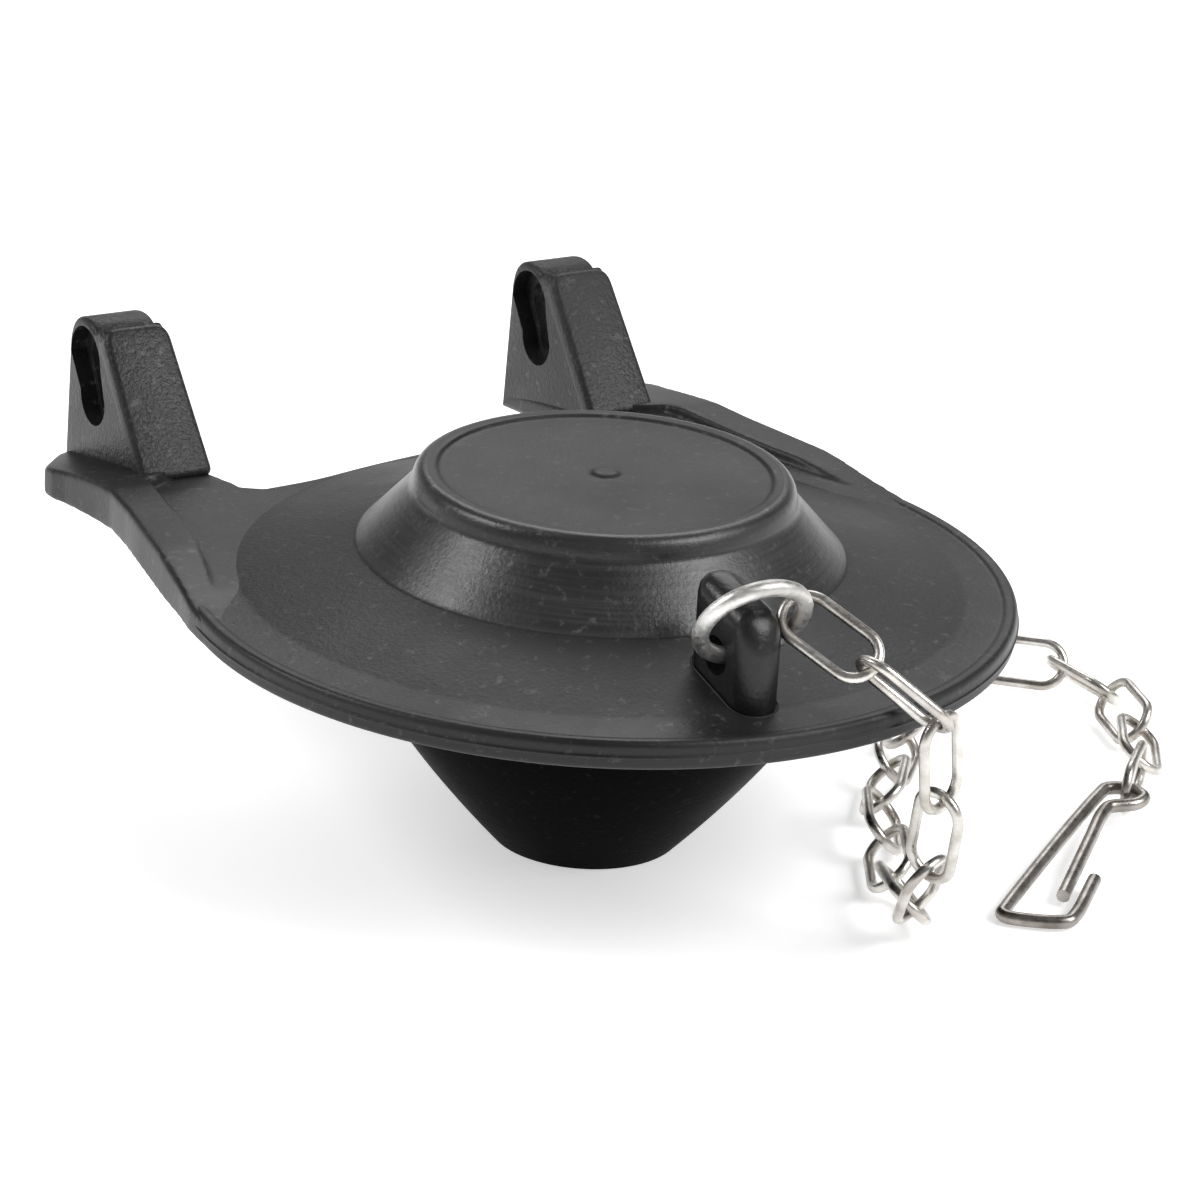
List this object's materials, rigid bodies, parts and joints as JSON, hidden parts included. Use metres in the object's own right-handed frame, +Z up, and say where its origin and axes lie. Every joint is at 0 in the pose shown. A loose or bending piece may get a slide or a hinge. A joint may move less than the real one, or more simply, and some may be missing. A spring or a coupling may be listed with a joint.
{
  "type": "toilet flapper",
  "caption": "Rubber flush valve flapper with a hollow bell, hinge ears, and a ring, chain and spring clip that pull it open.",
  "frame": {"origin": "middle of the hinge line through the two ears", "axes": "+X along the hinge line, +Y away from the disc, +Z up out of the crown"},
  "size_m": [0.1109, 0.1078, 0.0413],
  "materials": {
    "rubber": "satin moulded rubber",
    "ring_steel": "scratched",
    "chain_steel": "bright wire",
    "clip_steel": "spring wire"
  },
  "bodies": {
    "flapper": {"flapper": "rubber", "ring": "ring_steel", "link_01": "chain_steel", "link_02": "chain_steel", "link_03": "chain_steel", "link_04": "chain_steel", "link_05": "chain_steel", "link_06": "chain_steel", "link_07": "chain_steel", "link_08": "chain_steel", "link_09": "chain_steel", "link_10": "chain_steel", "link_11": "chain_steel", "link_12": "chain_steel", "link_13": "chain_steel", "link_14": "chain_steel", "link_15": "chain_steel", "link_16": "chain_steel", "link_17": "chain_steel", "link_18": "chain_steel"},
    "clip": {"clip": "clip_steel"}
  },
  "joints": [
    {"name": "clip_swing", "type": "hinge", "parent": "flapper", "child": "clip", "pos_m": [0.05352, -0.07522, -0.03195], "axis": [-0.5592, 0.829, 0], "range_deg": [0, 60]}
  ]
}
